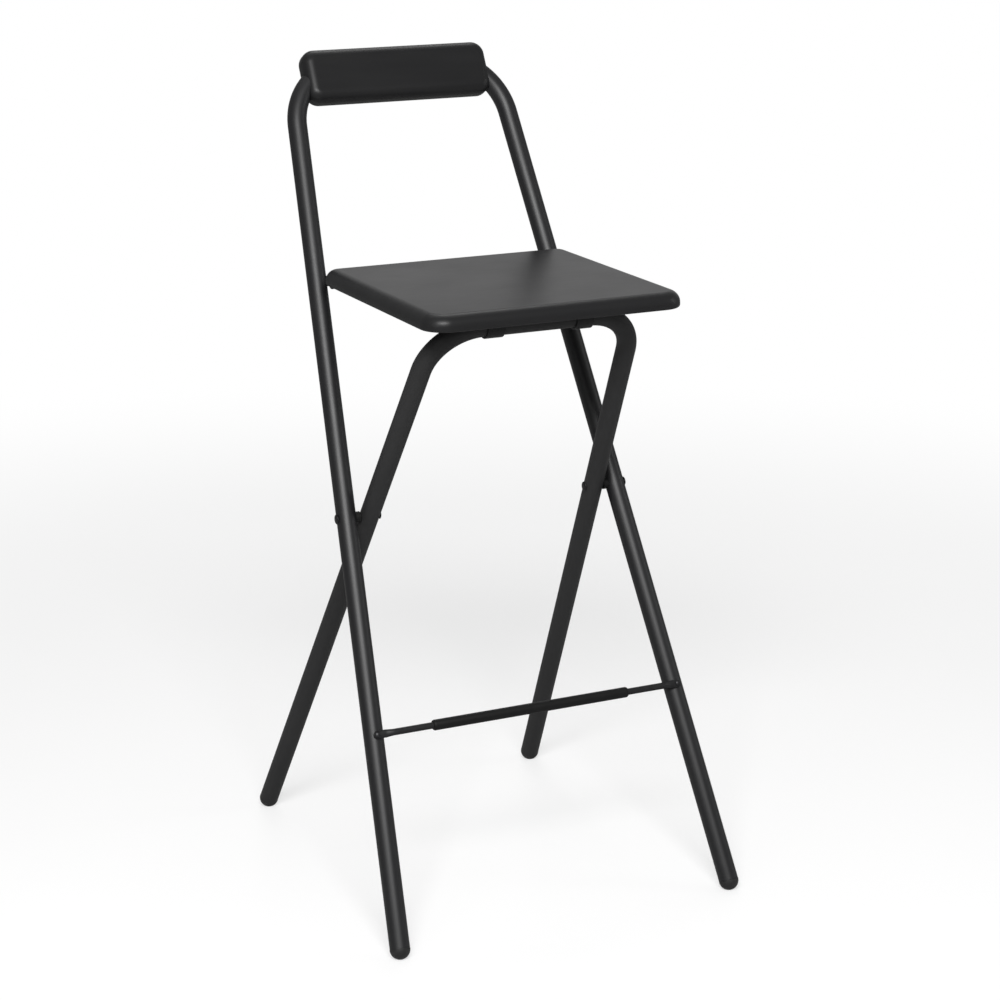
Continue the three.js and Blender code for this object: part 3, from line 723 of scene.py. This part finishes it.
BACK_WIDTH = 0.249
BACK_HEIGHT = 0.069
BACK_THICK = 0.032
BACK_EDGE = 0.013
BACK_CORNER = 0.017
ABOVE_TUBE = 0.0069
BACK_TOP = LONG["length"] + TUBE_RADIUS + ABOVE_TUBE
BACK_BOTTOM = BACK_TOP - BACK_HEIGHT
BACK_MIDDLE = BACK_TOP - BACK_HEIGHT / 2
SCREW_INSET = 0.019
BACK_SCREW_Z = BACK_BOTTOM + SCREW_INSET
BACK_SCREW_XS = (-0.090, -0.032, 0.032, 0.090)
BACK_SCREW_LENGTH = 0.024
GROOVE_RUN = 0.05
SCREW_SEAT = BACK_THICK / 2 - SCREW_HEIGHT - GAP
BACKWARD = (0, cos(LONG["tilt"]), -sin(LONG["tilt"]))


def slab(low, high):
    """A plain box cutter between two corners of the frame's own plane."""
    x, y, z = (np.array(pair) for pair in zip(low, high))
    ring = np.array([[x[0], y[0]], [x[1], y[0]], [x[1], y[1]], [x[0], y[1]]])
    rows = np.array([np.column_stack([ring, np.full(4, level)]) for level in z])
    return skin("cutter", tilted(capped(rows), LONG))


def screw_spot(x):
    """Where a screw's head bears on the rear board, at the bottom of its counterbore."""
    return tilted(np.array([x, SCREW_SEAT, BACK_SCREW_Z]), LONG)


def backrest_board(name, node, way):
    """The rounded block, kept on one side of the joint between the boards, less the tube's groove."""
    block = board_grid(BACK_WIDTH, BACK_HEIGHT, BACK_THICK, BACK_EDGE, BACK_EDGE, (BACK_CORNER,) * 4)
    block = np.stack([block[..., 0], block[..., 2], block[..., 1] + BACK_MIDDLE], -1)
    board = skin(name, tilted(block, LONG))
    near, far = sorted((way * GAP / 2, way * BACK_THICK))
    half = slab((-BACK_WIDTH, near, BACK_MIDDLE - BACK_HEIGHT),
                (BACK_WIDTH, far, BACK_MIDDLE + BACK_HEIGHT))
    cut(board, [half], "INTERSECT")
    groove = wall(u_line(LONG, BACK_BOTTOM - GROOVE_RUN), TUBE_RADIUS + GAP)
    tools = [skin("cutter", tilted(capped(groove), LONG))]
    if way > 0:
        tools += [peg(screw_spot(x), BACKWARD, SCREW_HEAD + GAP, -GAP, CUT_REACH) for x in BACK_SCREW_XS]
    cut(board, tools)
    return finished(board, "long_frame", node, LACQUER)


backrest_board("back_board_front", "backrest_front", -1)
backrest_board("back_board_rear", "backrest_rear", 1)
for index, x in enumerate(BACK_SCREW_XS, 1):
    screw(f"back_fixing_{index}", f"backrest_screw_{index}", "long_frame", screw_spot(x), BACKWARD,
          BACK_SCREW_LENGTH)

# Studio. A pale floor that runs into a white surround, five soft lamps round the stool, and the
# camera a little above the backrest, in front of the stool and to its left.

REFLECTED_SHARE = 0.1
FLOOR_RADII = (0, 3, 9)
FLOOR_DROP = 0.0002
FLOOR_LIFT = 0.6
FADE = (0.9, 2.6)
WALL_WAY = (0.43, 0.9, 0.1)
WALL_SIDE = (0.8, 0.97)
WALL_TOP = (0.25, 0.6)
WALL_SHADE = 0.68
ROOM_SHADE = 0.16
LENS = 94.83
CAMERA_PLACE = (-1.3325, -2.8132, 1.3604)
CAMERA_AIM = (-0.0019, -0.0669, 0.47725)


def floor():
    """A wide level disc just under the feet. Its skin points down, away from the origin, and is turned
    to face up."""
    radius = np.array(FLOOR_RADII)[:, None]
    turn = np.linspace(0, 2 * pi, 48, endpoint=False)[None, :]
    grid = np.stack([radius * np.cos(turn), radius * np.sin(turn), 0 * radius * turn - FLOOR_DROP], -1)
    ground = skin("floor", grid)
    ground.data.flip_normals()
    paper = Finish("studio_paper", {"Roughness": 0.9, "Specular IOR Level": 0.1})
    paper.colour(paper.noise(0.5), (0.39,) * 3, (0.41,) * 3)
    seen = paper.seen_directly(REFLECTED_SHARE)
    paper_light = Value(paper.tree, paper.shader.outputs[0])
    lifted = paper.node("AddShader", {0: paper_light, 1: paper.node("Emission", {"Strength": FLOOR_LIFT})})
    near = paper.node("MixShader", {0: seen, 1: paper_light, 2: lifted})
    away = paper.node("VectorMath", {0: paper.place()}, {"operation": "LENGTH"}, out="Value")
    far = paper.node("MixShader", {0: seen * paper.ramp(away, *FADE), 1: near, 2: paper.node("Emission")})
    paper.feed(paper.tree.nodes["Material Output"].inputs["Surface"], far)
    ground.data.materials.append(paper.material)


def facing(place, aim):
    """The turn by which a lamp or a camera at one place looks at another."""
    return (Vector(aim) - Vector(place)).to_track_quat("-Z", "Y").to_euler()


def lamp(name, place, aim, size, watts):
    """A soft lamp with a flat rectangular face, which looks at a point."""
    light = bpy.data.lights.new(name, "AREA")
    light.shape = "RECTANGLE"
    light.size, light.size_y = size
    light.energy = watts
    holder = bpy.data.objects.new(name, light)
    holder.location = place
    holder.rotation_euler = facing(place, aim)
    bpy.context.scene.collection.objects.link(holder)


def surround():
    """A dim grey room with a pale wall behind the stool, and plain white to the camera."""
    world = bpy.data.worlds.new("surround")
    bpy.context.scene.world = world
    world.use_nodes = True
    room = Nodes(world.node_tree)
    way = room.node("TexCoord", out="Generated")
    level = room.node("SeparateXYZ", {0: way}, out="Z")
    toward = room.node("VectorMath", {0: way, 1: WALL_WAY}, {"operation": "DOT_PRODUCT"}, out="Value")
    pale = room.ramp(toward, *WALL_SIDE) * (1 - room.ramp(level, *WALL_TOP))
    shade = ROOM_SHADE + (WALL_SHADE - ROOM_SHADE) * pale
    seen = room.seen_directly(REFLECTED_SHARE)
    room.feed(world.node_tree.nodes["Background"].inputs["Color"], shade + (1 - shade) * seen)


def camera():
    """At the height of a standing person's chest, aimed at the middle of the stool."""
    lens = bpy.data.cameras.new("camera")
    lens.lens = LENS
    lens.sensor_width = 36
    lens.clip_end = 50
    view = bpy.data.objects.new("camera", lens)
    view.location = CAMERA_PLACE
    view.rotation_euler = facing(CAMERA_PLACE, CAMERA_AIM)
    bpy.context.scene.collection.objects.link(view)
    bpy.context.scene.camera = view


floor()
surround()
lamp("overhead", (0.2, 0.8, 2.8), (0, 0, 0.6), (2.0, 1.6), 6)
lamp("key", (-1.15, -2.3, 2.6), (0, 0, 0.5), (1.9, 0.7), 118)
lamp("fill", (-2.6, -1.9, 1.6), (0, 0, 0.5), (1.2, 1.4), 8)
lamp("right", (2.5, -1.1, 1.5), (0, 0, 0.5), (0.6, 1.4), 7)
lamp("back", (0.9, 1.9, 3.4), (0, 0, 0.5), (1.4, 1.2), 16)
camera()
bpy.context.scene.view_settings.view_transform = "Standard"
